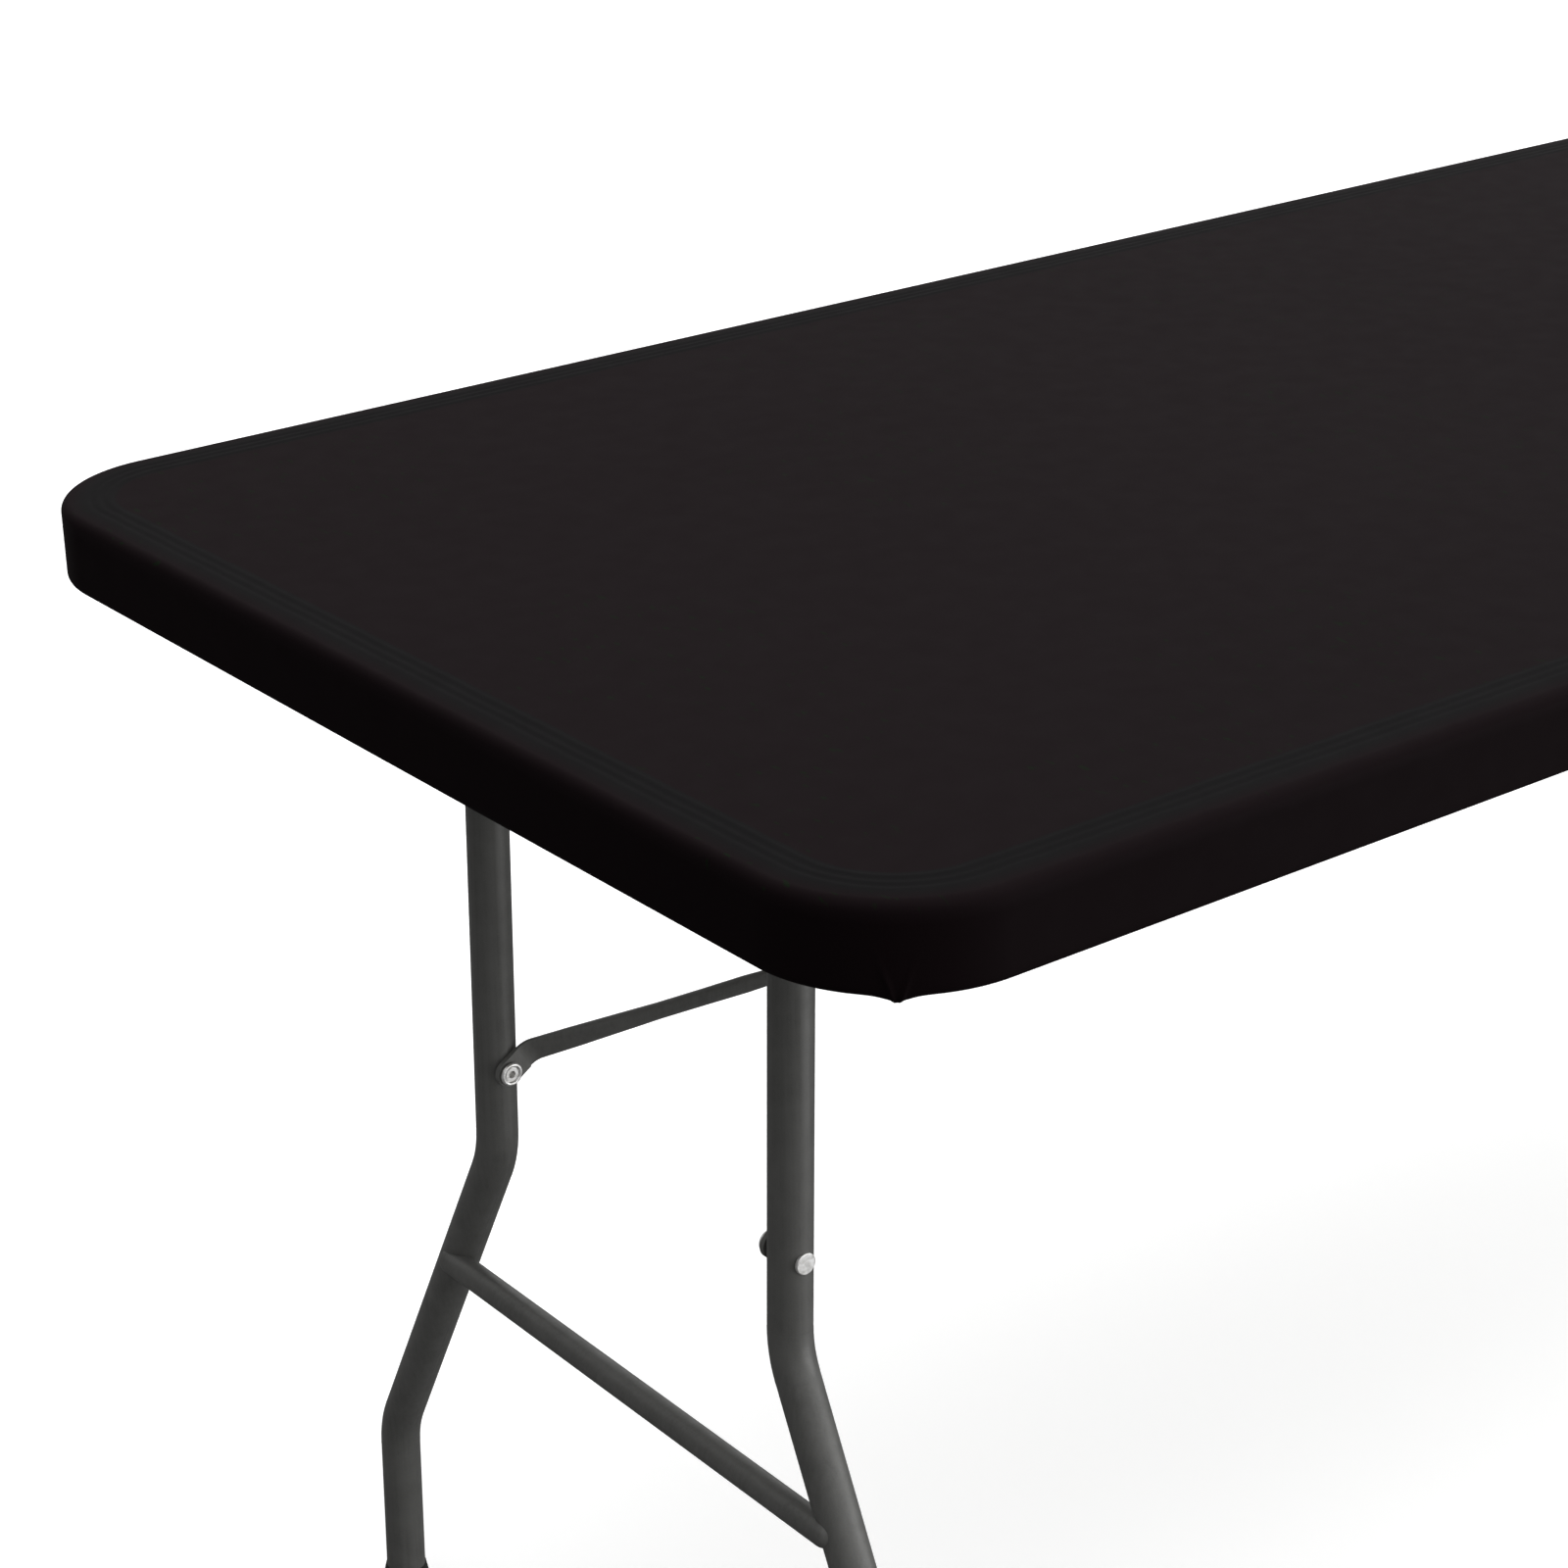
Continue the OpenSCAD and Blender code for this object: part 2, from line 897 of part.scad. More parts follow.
// Flat bevelled head, seated on the round of the leg
module rivet_head(leg_out) {
    difference() {
        translate([0, leg_out, 0])
            rotate([-90, 0, 0])
                rotate_extrude()
                    polygon([
                        [0, -rivet_seat], [rivet_head_r, -rivet_seat],
                        [rivet_head_r, rivet_rim_t], [rivet_head_r - rivet_bevel, rivet_head_t],
                        [0, rivet_head_t]
                    ]);
        translate([0, top_y, 0])
            cylinder(h = 4 * rivet_head_r, r = leg_r, center = true);
    }
}

module brace_rivets() {
    color(bright_colour)
        at_leg()
            translate([0, 0, -rivet_drop])
                for (side = [front, back])
                    at_side(side)
                        brace_rivet();
}

module brace_rivets_left() {
    brace_rivets();
}

module brace_rivets_right() {
    other_end()
        brace_rivets();
}

// ---------------------------------------------------------------- brace

// Smooth rise from 0 to 1
function ease(x) = let(t = min(max(x, 0), 1)) t * t * (3 - 2 * t);

// Signed power, for the rounded-rectangle section
function spow(x, p) = sign(x) * pow(abs(x), p);

// Centreline of the bent part of the arm: place along the brace, place across, direction
arm_line = concat(
    [[arm_bend_from - arm_lap, arm_leg_y, 0]],
    [
        for (i = [0 : arm_bend_steps])
            let(a = arm_angle * i / arm_bend_steps)
            [arm_bend_from + arm_bend_r * sin(a), arm_leg_y - arm_bend_r * (1 - cos(a)), a]
    ],
    [
        for (i = [1 : arm_mid_steps - 1])
            arm_mid_from + (arm_mid_to - arm_mid_from) * i / arm_mid_steps
    ],
    [
        for (i = [arm_bend_steps : -1 : 0])
            let(a = arm_angle * i / arm_bend_steps)
            [arm_bend_to - arm_bend_r * sin(a), arm_stem_y + arm_bend_r * (1 - cos(a)), a]
    ],
    [[arm_bend_to + arm_lap, arm_stem_y, 0]]
);

// How round the arm is at a share of the way across: 0 flat, 1 round
function arm_round(t) = ease(t / arm_round_by) * ease((1 - t) / arm_flat_from);

// Outline of the arm at one place on its centreline
function arm_ring(at) =
    let(
        t = (arm_leg_y - at[1]) / (arm_leg_y - arm_stem_y),
        full = arm_round(t),
        flat_h = t < 0.5 ? arm_w : junction_h,
        half_t = arm_t / 2 - arm_shy + (arm_r - arm_t / 2 + arm_shy) * full,
        half_h = flat_h / 2 - arm_shy + (arm_r - flat_h / 2 + arm_shy) * full,
        power = 2 / (flat_power - (flat_power - round_power) * full)
    )
    [
        for (i = [0 : arm_sides - 1])
            let(
                a = 360 * (i + 0.5) / arm_sides,
                across = half_t * spow(cos(a), power)
            )
            [at[0] + across * sin(at[2]), at[1] + across * cos(at[2]), half_h * spow(sin(a), power)]
    ];

// The bent part of the arm as one closed surface
module arm_body() {
    rings = len(arm_line);
    polyhedron(
        points = [for (at = arm_line) each arm_ring(at)],
        faces = concat(
            [[for (i = [0 : arm_sides - 1]) i]],
            [
                for (k = [0 : rings - 2], i = [0 : arm_sides - 1])
                    let(j = (i + 1) % arm_sides, low = k * arm_sides, high = low + arm_sides)
                    each [[low + i, high + i, high + j], [low + i, high + j, low + j]]
            ],
            [[for (i = [arm_sides - 1 : -1 : 0]) (rings - 1) * arm_sides + i]]
        )
    );
}

module brace_arm(side) {
    color(steel_colour)
        at_brace()
            at_side(side)
                rotate([0, -arm_tilt, 0])
                    difference() {
                        union() {
                            translate([0, arm_in_y, -arm_w / 2])
                                cube([arm_bend_from, arm_t, arm_w]);
                            cross_rod(arm_in_y, arm_out_y, arm_w / 2);
                            arm_body();
                            translate([arm_bend_to, stem_t / 2, -junction_h / 2])
                                cube([junction_end - arm_bend_to, arm_t, junction_h]);
                        }
                        cross_rod(arm_in_y - cut, arm_out_y + cut, pin_r + running_gap);
                        stem_rivet_places()
                            cross_rod(0, 3 * arm_t, stem_rivet_r);
                    }
}

module brace_arm_left_front() {
    brace_arm(front);
}

module brace_arm_left_back() {
    brace_arm(back);
}

module brace_arm_right_front() {
    other_end()
        brace_arm(front);
}

module brace_arm_right_back() {
    other_end()
        brace_arm(back);
}

module stem_rivet_places() {
    for (x = [-1, 1])
        translate([junction_run + x * stem_rivet_pitch / 2, 0, 0])
            children();
}

// Flat bar from the junction to the elbow
module brace_stem() {
    color(steel_colour)
        at_brace()
            difference() {
                translate([stem_reach, 0, 0])
                    rotate([0, stem_drop_angle, 0])
                        translate([-stem_reach + junction_start, 0, 0]) {
                            translate([0, -stem_t / 2, -stem_h / 2])
                                cube([stem_reach - junction_start, stem_t, stem_h]);
                            translate([stem_reach - junction_start, 0, 0])
                                cross_rod(-stem_t / 2, stem_t / 2, stem_end_r);
                        }
                translate([stem_reach, 0, 0])
                    cross_rod(-stem_t, stem_t, pin_r);
                rotate([0, -arm_tilt, 0])
                    stem_rivet_places()
                        cross_rod(-stem_t, stem_t, stem_rivet_r);
            }
}

module brace_stem_left() {
    brace_stem();
}

module brace_stem_right() {
    other_end()
        brace_stem();
}

module stem_rivets() {
    head_y = stem_t / 2 + arm_t;
    color(bright_colour)
        at_brace()
            rotate([0, -arm_tilt, 0])
                stem_rivet_places() {
                    cross_rod(-head_y, head_y, stem_rivet_r);
                    for (side = [front, back])
                        at_side(side)
                            cross_rod(head_y, head_y + stem_rivet_head_t, stem_rivet_head_r);
                }
}

module stem_rivets_left() {
    stem_rivets();
}

module stem_rivets_right() {
    other_end()
        stem_rivets();
}

// Middle of the elbow rivet, held in the stem
module elbow_core() {
    color(bright_colour)
        at_brace()
            translate([stem_reach, 0, 0])
                cross_rod(-stem_t / 2, stem_t / 2, pin_r);
}

module elbow_core_left() {
    elbow_core();
}

module elbow_core_right() {
    other_end()
        elbow_core();
}

module link_strap(side) {
    color(steel_colour)
        at_link()
            at_side(side)
                difference() {
                    flat_bar(0, link_reach, strap_y, strap_y + link_t, link_h);
                    cross_rod(0, 4 * strap_y, pin_r + running_gap);
                    translate([link_reach, 0, 0])
                        cross_rod(0, 4 * strap_y, pin_r);
                }
}

module link_left_front() {
    link_strap(front);
}

module link_left_back() {
    link_strap(back);
}

module link_right_front() {
    other_end()
        link_strap(front);
}

module link_right_back() {
    other_end()
        link_strap(back);
}

// Outer halves of the elbow rivet, one in each strap
module elbow_rivets() {
    color(bright_colour)
        at_link()
            translate([link_reach, 0, 0])
                for (side = [front, back])
                    at_side(side) {
                        cross_rod(strap_y, strap_y + link_t, pin_r);
                        cross_rod(strap_y + link_t, strap_y + link_t + rivet_head_t, elbow_head_r);
                    }
}

module elbow_rivets_left() {
    elbow_rivets();
}

module elbow_rivets_right() {
    other_end()
        elbow_rivets();
}

// ---------------------------------------------------------------- nodes

tabletop_panel();
table_cover();
cover_elastic();
rail_front();
rail_back();
rail_screws();
pivot_bushes();
bracket_left();
bracket_right();
bracket_screws();
link_pins_left();
link_pins_right();
vent_plug();
leg_left_front();
leg_left_back();
pivot_tube_left();
pivot_caps_left();
crossbar_left();
foot_cap_left_front();
foot_cap_left_back();
brace_rivets_left();
brace_arm_left_front();
brace_arm_left_back();
brace_stem_left();
stem_rivets_left();
elbow_core_left();
link_left_front();
link_left_back();
elbow_rivets_left();
leg_right_front();
leg_right_back();
pivot_tube_right();
pivot_caps_right();
crossbar_right();
foot_cap_right_front();
foot_cap_right_back();
brace_rivets_right();
brace_arm_right_front();
brace_arm_right_back();
brace_stem_right();
stem_rivets_right();
elbow_core_right();
link_right_front();
link_right_back();
elbow_rivets_right();
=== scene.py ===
import json
import math

import bmesh
import bpy
from mathutils import Matrix, Vector, noise


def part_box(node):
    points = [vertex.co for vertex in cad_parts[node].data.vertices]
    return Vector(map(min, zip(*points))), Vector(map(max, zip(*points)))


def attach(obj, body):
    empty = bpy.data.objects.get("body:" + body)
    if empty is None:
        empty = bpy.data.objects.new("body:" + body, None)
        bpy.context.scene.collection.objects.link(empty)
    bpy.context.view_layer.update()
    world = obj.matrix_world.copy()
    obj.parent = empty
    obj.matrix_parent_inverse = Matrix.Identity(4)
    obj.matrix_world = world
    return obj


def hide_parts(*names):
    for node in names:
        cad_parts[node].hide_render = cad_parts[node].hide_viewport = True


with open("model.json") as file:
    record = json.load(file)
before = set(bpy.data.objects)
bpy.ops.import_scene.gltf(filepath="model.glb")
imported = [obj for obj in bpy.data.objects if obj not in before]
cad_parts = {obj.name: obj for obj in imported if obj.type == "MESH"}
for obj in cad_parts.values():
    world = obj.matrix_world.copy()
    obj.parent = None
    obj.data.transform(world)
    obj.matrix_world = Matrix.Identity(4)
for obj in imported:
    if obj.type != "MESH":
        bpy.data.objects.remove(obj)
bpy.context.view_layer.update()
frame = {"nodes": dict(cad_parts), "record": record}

# ---------------------------------------------------------------- places, in metres, from the frame

TABLE_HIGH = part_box("table_cover")[1]
ELASTIC_LOW, ELASTIC_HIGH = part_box("cover_elastic")
HALF_L = TABLE_HIGH.x
HALF_W = TABLE_HIGH.y
TOP_Z = TABLE_HIGH.z
ELASTIC_R = (ELASTIC_HIGH.z - ELASTIC_LOW.z) / 2
ROLL_Z = (ELASTIC_HIGH.z + ELASTIC_LOW.z) / 2
HEM_W = HALF_L - ELASTIC_HIGH.x + ELASTIC_R

# Cover: sizes that the frame's boxes can't give. EDGE_R is a little under the CAD cover's,
# which makes the edge look crisper.
CORNER_R = 0.078
EDGE_R = 0.0055
LOW_R = 0.004
EDGE_H = 0.044
CLOTH_T = 0.0009
ROLL_CLOTH = 0.001
ROLL_R = ELASTIC_R + ROLL_CLOTH
HEM_Z = TOP_Z - EDGE_H

# ---------------------------------------------------------------- camera and light

TARGET = Vector((-0.4115, 0.3433, 0.4303))
CAMERA_DISTANCE = 2.363
CAMERA_AZIMUTH = 52.96
CAMERA_PITCH = 22.95
CAMERA_ROLL = -1.22
CAMERA_LENS = 82.0
CAMERA_SHIFT = (0.00375, 0.00125)


def make_camera():
    heading = math.radians(CAMERA_AZIMUTH)
    pitch = math.radians(CAMERA_PITCH)
    roll = math.radians(CAMERA_ROLL)
    forward = Vector((
        math.cos(pitch) * math.cos(heading),
        math.cos(pitch) * math.sin(heading),
        -math.sin(pitch),
    ))
    level_right = Vector((math.sin(heading), -math.cos(heading), 0))
    level_up = level_right.cross(forward)
    right = level_right * math.cos(roll) + level_up * math.sin(roll)
    up = right.cross(forward)
    data = bpy.data.cameras.new("camera")
    data.lens = CAMERA_LENS
    data.sensor_width = 36
    data.shift_x, data.shift_y = CAMERA_SHIFT
    data.clip_end = 100
    camera = bpy.data.objects.new("camera", data)
    bpy.context.collection.objects.link(camera)
    turn = Matrix((right, up, -forward)).transposed().to_4x4()
    camera.matrix_world = Matrix.Translation(TARGET - forward * CAMERA_DISTANCE) @ turn
    bpy.context.scene.camera = camera


LIGHT_FROM = Vector((0.52, -0.24, 0.82))
WORLD_FADE_FROM = -0.55
WORLD_DIM = 0.09
WORLD_BRIGHT = 1.45
KEY_STRENGTH = 1.2
KEY_SPREAD = math.radians(70)
CARD_SIZE = (1.0, 0.35)
CARD_WATTS = 6.5
CARD_AT = Vector((0.10, -1.20, 0.20))
CARD_AIM = Vector((-0.78, -0.26, 0.25))
FLOOR_HALF = 14
FLOOR_WHITE = 0.93
FLOOR_GLOW = 0.25
FLOOR_BOUNCE = 0.15


def make_world():
    """A white studio, brightest above and to the right of the camera."""
    world = bpy.data.worlds.new("studio")
    world.use_nodes = True
    nodes, links = world.node_tree.nodes, world.node_tree.links
    coordinates = nodes.new("ShaderNodeTexCoord")
    facing = nodes.new("ShaderNodeVectorMath")
    facing.operation = "DOT_PRODUCT"
    facing.inputs[1].default_value = LIGHT_FROM
    links.new(coordinates.outputs["Generated"], facing.inputs[0])
    ramp = nodes.new("ShaderNodeMapRange")
    ramp.interpolation_type = "SMOOTHSTEP"
    ramp.inputs["From Min"].default_value = WORLD_FADE_FROM
    ramp.inputs["To Min"].default_value = WORLD_DIM
    ramp.inputs["To Max"].default_value = WORLD_BRIGHT
    links.new(facing.outputs["Value"], ramp.inputs["Value"])
    links.new(ramp.outputs["Result"], nodes["Background"].inputs["Strength"])
    nodes["Background"].inputs["Color"].default_value = (1, 1, 1, 1)
    bpy.context.scene.world = world


def make_key():
    """One broad soft sun from the bright side of the world."""
    data = bpy.data.lights.new("soft_key", "SUN")
    data.energy = KEY_STRENGTH
    data.angle = KEY_SPREAD
    key = bpy.data.objects.new("soft_key", data)
    key.rotation_mode = "QUATERNION"
    key.rotation_quaternion = (-LIGHT_FROM).to_track_quat("-Z", "Y")
    bpy.context.collection.objects.link(key)


def make_card():
    """A low lamp in front, out of the camera's sight, for the rivets and the lower legs."""
    data = bpy.data.lights.new("low_card", "AREA")
    data.shape = "RECTANGLE"
    data.size, data.size_y = CARD_SIZE
    data.energy = CARD_WATTS
    card = bpy.data.objects.new("low_card", data)
    card.location = CARD_AT
    card.rotation_mode = "QUATERNION"
    card.rotation_quaternion = (CARD_AIM - CARD_AT).to_track_quat("-Z", "Y")
    card.visible_camera = False
    bpy.context.collection.objects.link(card)


def make_stage():
    """A plain floor: white to the camera, and much darker in the light it throws back."""
    mesh = bpy.data.meshes.new("floor")
    corners = [(x * FLOOR_HALF, y * FLOOR_HALF, 0) for x, y in ((-1, -1), (1, -1), (1, 1), (-1, 1))]
    mesh.from_pydata(corners, [], [(0, 1, 2, 3)])
    floor = bpy.data.objects.new("floor", mesh)
    bpy.context.collection.objects.link(floor)
    material = bpy.data.materials.new("studio_floor")
    material.use_nodes = True
    nodes, links = material.node_tree.nodes, material.node_tree.links
    seen = nodes["Principled BSDF"]
    seen.inputs["Base Color"].default_value = (FLOOR_WHITE, FLOOR_WHITE, FLOOR_WHITE, 1)
    seen.inputs["Roughness"].default_value = 0.9
    seen.inputs["Specular IOR Level"].default_value = 0
    seen.inputs["Emission Color"].default_value = (1, 1, 1, 1)
    seen.inputs["Emission Strength"].default_value = FLOOR_GLOW
    bounce = nodes.new("ShaderNodeBsdfDiffuse")
    bounce.inputs["Color"].default_value = (FLOOR_BOUNCE, FLOOR_BOUNCE, FLOOR_BOUNCE, 1)
    path = nodes.new("ShaderNodeLightPath")
    mix = nodes.new("ShaderNodeMixShader")
    links.new(path.outputs["Is Camera Ray"], mix.inputs["Fac"])
    links.new(bounce.outputs["BSDF"], mix.inputs[1])
    links.new(seen.outputs["BSDF"], mix.inputs[2])
    links.new(mix.outputs["Shader"], nodes["Material Output"].inputs["Surface"])
    mesh.materials.append(material)


# ---------------------------------------------------------------- node materials

class Paint:
    """A material in the making: short calls that add nodes and link them to the shader."""

    def __init__(self, name):
        self.material = bpy.data.materials.new(name)
        self.material.use_nodes = True
        self.nodes = self.material.node_tree.nodes
        self.links = self.material.node_tree.links
        self.shader = self.nodes["Principled BSDF"]
        self.place = self.nodes.new("ShaderNodeTexCoord").outputs["Object"]

    def set(self, **values):
        for name, value in values.items():
            self.shader.inputs[name.replace("_", " ")].default_value = value

    def stretched(self, scale, turn=(0, 0, 0)):
        node = self.nodes.new("ShaderNodeMapping")
        self.links.new(self.place, node.inputs["Vector"])
        node.inputs["Scale"].default_value = scale
        node.inputs["Rotation"].default_value = turn
        return node.outputs["Vector"]

    def noise(self, scale, detail=3.0, rough=0.5, at=None):
        node = self.nodes.new("ShaderNodeTexNoise")
        self.links.new(at or self.place, node.inputs["Vector"])
        node.inputs["Scale"].default_value = scale
        node.inputs["Detail"].default_value = detail
        node.inputs["Roughness"].default_value = rough
        return node.outputs["Fac"]

    def cells(self, scale):
        node = self.nodes.new("ShaderNodeTexVoronoi")
        self.links.new(self.place, node.inputs["Vector"])
        node.inputs["Scale"].default_value = scale
        return node.outputs["Distance"]

    def waves(self, scale, direction):
        node = self.nodes.new("ShaderNodeTexWave")
        node.bands_direction = direction
        self.links.new(self.place, node.inputs["Vector"])
        node.inputs["Scale"].default_value = scale
        return node.outputs["Fac"]

    def attribute(self, name):
        node = self.nodes.new("ShaderNodeAttribute")
        node.attribute_name = name
        return node.outputs["Fac"]

    def between(self, value, low, high, to_low=0.0, to_high=1.0):
        node = self.nodes.new("ShaderNodeMapRange")
        self.links.new(value, node.inputs["Value"])
        for name, number in zip(
            ("From Min", "From Max", "To Min", "To Max"), (low, high, to_low, to_high)
        ):
            node.inputs[name].default_value = number
        return node.outputs["Result"]

    def combine(self, a, b, operation="ADD"):
        node = self.nodes.new("ShaderNodeMath")
        node.operation = operation
        for socket, value in zip(node.inputs, (a, b)):
            if isinstance(value, (int, float)):
                socket.default_value = value
            else:
                self.links.new(value, socket)
        return node.outputs[0]

    def mix(self, amount, a, b):
        """Mix has sockets A, B and Result for every data type, so the colour ones are picked."""
        node = self.nodes.new("ShaderNodeMix")
        node.data_type = "RGBA"
        self.links.new(amount, node.inputs["Factor"])
        colours = [socket for socket in node.inputs if socket.type == "RGBA"]
        for socket, value in zip(colours, (a, b)):
            if isinstance(value, tuple):
                socket.default_value = (*value, 1)
            else:
                self.links.new(value, socket)
        return next(socket for socket in node.outputs if socket.type == "RGBA")

    def colour(self, output):
        self.links.new(output, self.shader.inputs["Base Color"])

    def rough(self, output):
        self.links.new(output, self.shader.inputs["Roughness"])

    def bump(self, height, distance, strength=1.0):
        node = self.nodes.new("ShaderNodeBump")
        node.inputs["Distance"].default_value = distance
        node.inputs["Strength"].default_value = strength
        self.links.new(height, node.inputs["Height"])
        previous = self.shader.inputs["Normal"]
        if previous.is_linked:
            self.links.new(previous.links[0].from_socket, node.inputs["Normal"])
        self.links.new(node.outputs["Normal"], previous)


def stretch_cover():
    """Black knit that stretches: fine ribs, faint flecks, a cooler rim band and darker sides.

    The band and the sides come from the mesh's own attributes, and both are painted light: the band
    a painted sheen for the light on the rim's shoulder, the sides a painted shade for the light
    they don't get.
    """
    p = Paint("stretch_cover")
    p.set(Specular_IOR_Level=0.012, Sheen_Weight=0.008, Sheen_Roughness=0.4)
    p.set(Sheen_Tint=(1.0, 0.86, 0.90, 1))
    tone = p.between(p.noise(2.2, 2), 0.35, 0.7)
    cloth = p.mix(tone, (0.0064, 0.0041, 0.0048), (0.0070, 0.0046, 0.0053))
    slanted = p.stretched((330, 120, 60), (0, 0, math.radians(35)))
    fleck = p.between(p.noise(1, 1, 0.4, slanted), 0.69, 0.72)
    cluster = p.between(p.noise(5.5, 2), 0.50, 0.58)
    flecks = p.combine(fleck, cluster, "MULTIPLY")
    cloth = p.mix(flecks, cloth, (0.0050, 0.0082, 0.0042))
    # Cooler band round the rim: painted sheen, for the light on the rim's rounded shoulder
    cloth = p.mix(p.attribute("stretch"), cloth, (0.0055, 0.0053, 0.0056))
    # Darker sides: painted shade, for the light the sides don't get
    p.colour(p.mix(p.attribute("painted_side_shade"), cloth, (0.0048, 0.0029, 0.0034)))
    ribs = p.combine(p.waves(700, "Y"), p.waves(620, "X"), "MULTIPLY")
    p.bump(ribs, 0.00002, 0.5)
    p.bump(p.noise(900, 2), 0.00002, 0.4)
    p.rough(p.between(p.noise(60, 3), 0.3, 0.7, 0.61, 0.66))
    return p.material


def braided_elastic():
    p = Paint("braided_elastic")
    p.set(Specular_IOR_Level=0.2, Sheen_Weight=0.1)
    braid = p.combine(p.waves(420, "X"), p.waves(420, "Y"))
    p.colour(p.mix(p.between(braid, 0, 2), (0.008, 0.008, 0.008), (0.03, 0.028, 0.028)))
    p.bump(braid, 0.0003)
    p.set(Roughness=0.8)
    return p.material


def moulded_panel():
    """Blow-moulded polyethylene: pebbled grain and a faint unevenness."""
    p = Paint("moulded_panel")
    p.set(Specular_IOR_Level=0.4)
    tone = p.between(p.noise(7, 5), 0.3, 0.7)
    p.colour(p.mix(tone, (0.66, 0.65, 0.61), (0.74, 0.73, 0.69)))
    p.bump(p.cells(420), 0.00025, 0.6)
    p.bump(p.noise(30, 3), 0.0006, 0.4)
    p.rough(p.between(p.noise(90, 3), 0.3, 0.7, 0.45, 0.62))
    return p.material


def coated_steel(name, lift):
    """Dark grey powder coat: orange peel, mottling and drawn streaks, lightened by lift, which on
    the brace arms is painted light.
    """
    p = Paint(name)
    p.set(Specular_IOR_Level=0.45, Coat_Weight=0.05, Coat_Roughness=0.35)
    mottle = p.between(p.noise(55, 5, 0.6), 0.32, 0.68)
    streak = p.between(p.noise(1, 3, 0.55, p.stretched((420, 420, 7))), 0.34, 0.66)
    grain = p.between(p.noise(1500, 2), 0.3, 0.7)
    low, high, line, point = (
        tuple(lift * part for part in colour)
        for colour in (
            (0.050, 0.050, 0.047), (0.072, 0.072, 0.068),
            (0.088, 0.087, 0.085), (0.098, 0.098, 0.093),
        )
    )
    base = p.mix(mottle, low, high)
    base = p.mix(p.combine(streak, 0.45, "MULTIPLY"), base, line)
    p.colour(p.mix(p.combine(grain, 0.30, "MULTIPLY"), base, point))
    p.bump(p.noise(620, 2), 0.00012, 0.5)
    p.rough(p.between(p.noise(140, 3), 0.3, 0.7, 0.40, 0.54))
    return p.material


def bright_steel():
    """Zinc plate: bright, cloudy and finely scratched."""
    p = Paint("bright_steel")
    p.set(Metallic=1.0)
    cloud = p.between(p.noise(420, 4), 0.3, 0.7)
    p.colour(p.mix(cloud, (0.62, 0.61, 0.59), (0.88, 0.88, 0.88)))
    scratch = p.noise(1, 3, 0.6, p.stretched((3000, 3000, 250)))
    p.bump(scratch, 0.00004, 0.5)
    p.rough(p.between(p.noise(700, 3), 0.3, 0.7, 0.34, 0.52))
    return p.material


def foot_rubber():
    p = Paint("foot_rubber")
    p.set(Specular_IOR_Level=0.3)
    tone = p.between(p.noise(90, 4), 0.3, 0.7)
    p.colour(p.mix(tone, (0.008, 0.008, 0.007), (0.016, 0.016, 0.014)))
    p.bump(p.noise(1100, 3), 0.00015, 0.6)
    p.rough(p.between(p.noise(70, 3), 0.3, 0.7, 0.62, 0.82))
    return p.material


def nylon():
    p = Paint("nylon")
    p.set(Specular_IOR_Level=0.4, Subsurface_Weight=0.05)
    tone = p.between(p.noise(120, 3), 0.3, 0.7)
    p.colour(p.mix(tone, (0.66, 0.64, 0.57), (0.76, 0.74, 0.68)))
    p.bump(p.noise(800, 2), 0.0001, 0.4)
    p.set(Roughness=0.45)
    return p.material


# How much lighter than its base colours the coat is, on the frame and on the brace arms. The arms'
# greater lift is painted light: the same coat made lighter for the light they catch.
STEEL_LIFT = 1.15
ARM_LIFT_PAINTED_LIGHT = 1.45


def slot_of(name):
    for part in frame["record"]["subparts"]:
        if part["node"] == name:
            return part["material_slot"]
    raise KeyError(name)


def dress_frame():
    """Gives every CAD node the finish of its slot in the record, and the elastic its own."""
    finishes = {
        "moulded_panel": moulded_panel(),
        "coated_steel": coated_steel("coated_steel", STEEL_LIFT),
        "bright_steel": bright_steel(),
        "foot_rubber": foot_rubber(),
        "nylon": nylon(),
    }
    # The CAD cover is hidden behind cover_cloth, so any finish does
    finishes["stretch_cover"] = finishes["moulded_panel"]
    for name, node in frame["nodes"].items():
        node.data.materials.clear()
        node.data.materials.append(finishes[slot_of(name)])
    elastic = frame["nodes"]["cover_elastic"].data.materials
    elastic.clear()
    elastic.append(braided_elastic())


# ---------------------------------------------------------------- stretch cover

# Spacing of the mesh
GRID = 0.008
CORNER_STEPS = 72
PUCKER_STEPS = 160
TOP_INSETS = (0.066, 0.054, 0.044, 0.036, 0.031)
FINE_FROM = 0.0295
FINE_STEP = 0.0015
FINE_ROWS = 12
ROUND_STEPS = 9
SKIRT_SHARES = (0.14, 0.28, 0.42, 0.54, 0.64, 0.73, 0.81, 0.88, 0.94)
LOW_STEPS = 5
HEM_STEPS = 9
ROLL_STEPS = 12
ROLL_GAP = 0.25

# Band of painted sheen (a cooler colour, for the light on the rim's shoulder) and low ridges that
# run round the rim of the top, by distance from the edge
RIM_SHEEN_BAND = (0.0055, 0.0300)
RIDGES = (0.014, 0.020, 0.0265)
RIDGE_HALF = 0.0016
RIDGE_H = 0.00035

# Gather of the hem: short pleats at the corners, long faint waves along the sides
PLEAT_L = 0.0096
PLEAT_H = 0.0017
WAVE_L = 0.058
WAVE_H = 0.0006
ROLL_SWELL = 0.45

